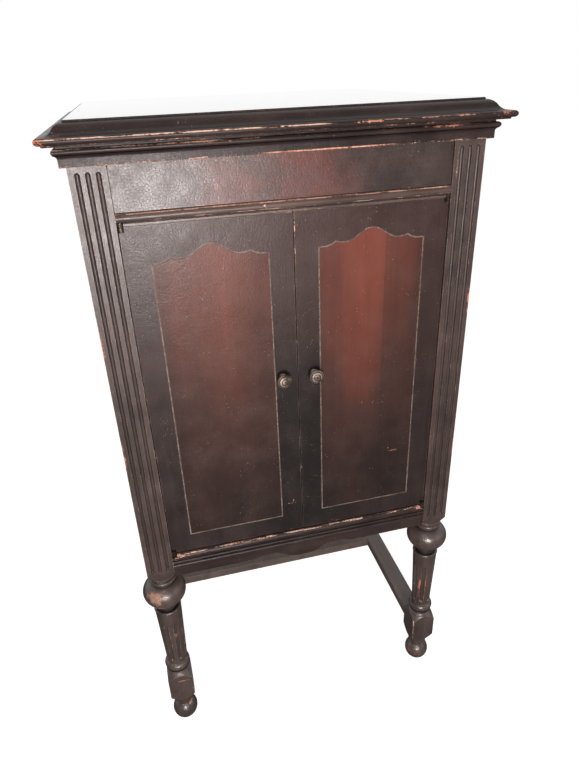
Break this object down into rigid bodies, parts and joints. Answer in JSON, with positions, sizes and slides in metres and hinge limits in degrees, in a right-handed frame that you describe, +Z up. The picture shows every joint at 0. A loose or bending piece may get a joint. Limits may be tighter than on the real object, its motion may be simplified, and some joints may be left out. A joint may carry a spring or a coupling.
{
  "type": "cabinet phonograph",
  "caption": "Upright wind-up phonograph cabinet with a lid over the turntable, a pair of doors over the horn and record bays, and turned legs with stretchers.",
  "frame": {"origin": "on the floor under the middle of the case, between the four feet", "axes": "+X to the right seen from the front, +Y towards the back, +Z up"},
  "size_m": [0.71, 0.64, 1.2114],
  "materials": {
    "dark_mahogany": "aged varnish",
    "red_mahogany": "aged varnish",
    "plain_wood": "thin stain",
    "brass": "tarnished",
    "nickel_plate": "satin nickel",
    "steel": "oiled",
    "grille_cloth": "woven",
    "felt": "felt",
    "mica": "clear sheet"
  },
  "bodies": {
    "cabinet": {"front_left_post": "dark_mahogany", "front_right_post": "dark_mahogany", "rear_left_post": "dark_mahogany", "rear_right_post": "dark_mahogany", "left_side_panel": "dark_mahogany", "right_side_panel": "dark_mahogany", "back_panel": "plain_wood", "frieze_panel": "red_mahogany", "upper_rail": "dark_mahogany", "base_rail": "dark_mahogany", "front_apron": "dark_mahogany", "case_cornice": "dark_mahogany", "motor_board": "red_mahogany", "cabinet_floor": "plain_wood", "record_shelf": "plain_wood", "record_dividers": "plain_wood", "front_left_leg": "dark_mahogany", "front_right_leg": "dark_mahogany", "rear_left_leg": "dark_mahogany", "rear_right_leg": "dark_mahogany", "left_stretcher": "dark_mahogany", "right_stretcher": "dark_mahogany", "cross_stretcher": "dark_mahogany", "door_pivot_brackets": "brass", "door_catches": "brass", "grille": "red_mahogany", "grille_cloth": "grille_cloth", "horn": "plain_wood", "tone_arm_base": "nickel_plate", "arm_rest": "nickel_plate", "speed_dial": "nickel_plate", "motor_frame": "steel", "crank_escutcheon": "nickel_plate", "needle_cups": "nickel_plate", "lid_hinge_brackets": "brass", "quadrant_guide": "brass"},
    "lid": {"lid": "dark_mahogany", "lid_hinge_leaves": "brass", "lid_quadrant": "brass"},
    "left_door": {"left_door": "red_mahogany", "left_door_pivots": "brass", "left_knob": "brass"},
    "right_door": {"right_door": "red_mahogany", "right_door_pivots": "brass", "right_knob": "brass"},
    "turntable": {"turntable": "nickel_plate", "turntable_felt": "felt", "spindle": "steel"},
    "intermediate_gear": {"intermediate_gear": "steel"},
    "spring_barrel": {"spring_barrel": "steel"},
    "governor": {"governor": "brass"},
    "winding_gear": {"winding_gear": "steel"},
    "crank": {"crank": "nickel_plate"},
    "crank_grip": {"crank_grip": "red_mahogany"},
    "tone_arm": {"tone_arm": "nickel_plate"},
    "reproducer": {"reproducer": "nickel_plate", "diaphragm": "mica", "needle_arm": "steel"},
    "speed_lever": {"speed_lever": "nickel_plate"},
    "brake_lever": {"brake_lever": "nickel_plate"}
  },
  "joints": [
    {"name": "lid_hinge", "type": "hinge", "parent": "cabinet", "child": "lid", "pos_m": [0, 0.3013, 1.1824], "axis": [-1, 0, 0], "range_deg": [0, 69]},
    {"name": "left_door_hinge", "type": "hinge", "parent": "cabinet", "child": "left_door", "pos_m": [-0.2452, -0.296, 0.776], "axis": [0, 0, -1], "range_deg": [0, 170]},
    {"name": "right_door_hinge", "type": "hinge", "parent": "cabinet", "child": "right_door", "pos_m": [0.2452, -0.296, 0.776], "axis": [0, 0, 1], "range_deg": [0, 170]},
    {"name": "turntable_spin", "type": "hinge", "parent": "cabinet", "child": "turntable", "pos_m": [-0.035, -0.025, 1.04], "axis": [0, 0, 1], "continuous": true},
    {"name": "intermediate_spin", "type": "hinge", "parent": "cabinet", "child": "intermediate_gear", "pos_m": [-0.00175, -0.00462, 0.966], "axis": [0, 0, 1], "continuous": true},
    {"name": "barrel_spin", "type": "hinge", "parent": "cabinet", "child": "spring_barrel", "pos_m": [0.045, -0.025, 0.966], "axis": [0, 0, 1], "continuous": true},
    {"name": "governor_spin", "type": "hinge", "parent": "cabinet", "child": "governor", "pos_m": [-0.035, -0.055, 0.946], "axis": [1, 0, 0], "continuous": true},
    {"name": "crank_spin", "type": "hinge", "parent": "cabinet", "child": "crank", "pos_m": [0.3, -0.025, 0.936], "axis": [1, 0, 0], "continuous": true},
    {"name": "winding_spin", "type": "hinge", "parent": "cabinet", "child": "winding_gear", "pos_m": [0.045, -0.025, 0.927], "axis": [0, 0, 1], "continuous": true},
    {"name": "grip_spin", "type": "hinge", "parent": "crank", "child": "crank_grip", "pos_m": [0.34, -0.025, 0.841], "axis": [1, 0, 0], "continuous": true},
    {"name": "tone_arm_swing", "type": "hinge", "parent": "cabinet", "child": "tone_arm", "pos_m": [0.165, 0.17, 1.105], "axis": [0, 0, -1], "range_deg": [0, 34]},
    {"name": "reproducer_lift", "type": "hinge", "parent": "tone_arm", "child": "reproducer", "pos_m": [0.185, -0.055, 1.105], "axis": [-1, 0, 0], "range_deg": [0, 80]},
    {"name": "speed_lever_turn", "type": "hinge", "parent": "cabinet", "child": "speed_lever", "pos_m": [-0.22, -0.212, 1.042], "axis": [0, 0, 1], "range_deg": [-60, 60]},
    {"name": "brake_release", "type": "hinge", "parent": "cabinet", "child": "brake_lever", "pos_m": [0.09867, -0.13717, 1.045], "axis": [0, 0, 1], "range_deg": [0, 20]}
  ],
  "couplings": [
    {"joint": "intermediate_spin", "follows": "turntable_spin", "ratio": -0.3},
    {"joint": "barrel_spin", "follows": "turntable_spin", "ratio": 0.064286},
    {"joint": "governor_spin", "follows": "turntable_spin", "ratio": 10},
    {"joint": "winding_spin", "follows": "crank_spin", "ratio": 0.3}
  ]
}
